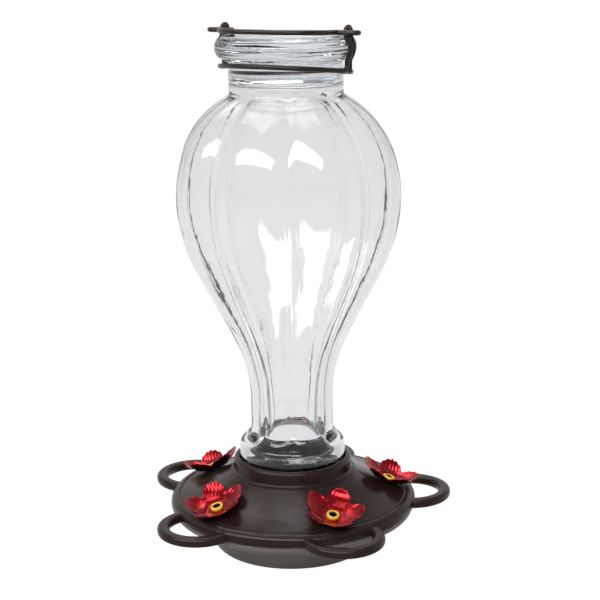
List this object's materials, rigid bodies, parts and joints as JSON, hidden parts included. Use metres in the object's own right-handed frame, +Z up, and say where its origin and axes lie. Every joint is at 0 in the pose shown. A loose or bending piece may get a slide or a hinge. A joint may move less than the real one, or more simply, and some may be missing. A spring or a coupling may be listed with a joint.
{
  "type": "hummingbird feeder",
  "caption": "Hanging nectar feeder: inverted melon-lobed glass bottle on a bronze base with looped perches, red metal blossoms, yellow ports and a wire bail.",
  "frame": {"origin": "centre of the bowl's flat underside, on the bottle's axis", "axes": "+Z up along the bottle's axis; -Y is the side that the picture shows"},
  "size_m": [0.1609, 0.1634, 0.2752],
  "materials": {
    "bronze_plastic": "satin",
    "bowl_plastic": "satin",
    "clear_glass": "clear",
    "seal_rubber": "soft",
    "coated_wire": "satin",
    "red_enamel": "gloss",
    "yellow_plastic": "gloss"
  },
  "bodies": {
    "base": {"feeder_cover": "bronze_plastic", "flower_1": "red_enamel", "flower_2": "red_enamel", "flower_3": "red_enamel", "flower_4": "red_enamel", "flower_5": "red_enamel", "port_1": "yellow_plastic", "port_2": "yellow_plastic", "port_3": "yellow_plastic", "port_4": "yellow_plastic", "port_5": "yellow_plastic"},
    "bowl": {"nectar_bowl": "bowl_plastic"},
    "seal": {"bottle_seal": "seal_rubber"},
    "bottle": {"bottle": "clear_glass"},
    "collar": {"neck_wire": "coated_wire"},
    "hanger": {"hanger_bail": "coated_wire"}
  },
  "joints": [
    {"name": "bowl_twist", "type": "hinge", "parent": "base", "child": "bowl", "pos_m": [0, 0, 0.022], "axis": [0, 0, 1], "range_deg": [0, 30]},
    {"name": "bottle_lift", "type": "slide", "parent": "base", "child": "seal", "axis": [0, 0, 1], "range_m": [0, 0.0075]},
    {"name": "bottle_turn", "type": "hinge", "parent": "seal", "child": "bottle", "pos_m": [0, 0, 0.0454], "axis": [0, 0, 1], "range_deg": [0, 540]},
    {"name": "collar_turn", "type": "hinge", "parent": "bottle", "child": "collar", "pos_m": [0, 0, 0.2526], "axis": [0, 0, 1], "continuous": true},
    {"name": "bail_swing", "type": "hinge", "parent": "collar", "child": "hanger", "pos_m": [0, 0, 0.2713], "axis": [-0.8746, 0.4848, 0], "range_deg": [0, 174]}
  ],
  "couplings": [
    {"joint": "bottle_lift", "follows": "bottle_turn", "m_per_rad": 0.00079577}
  ]
}
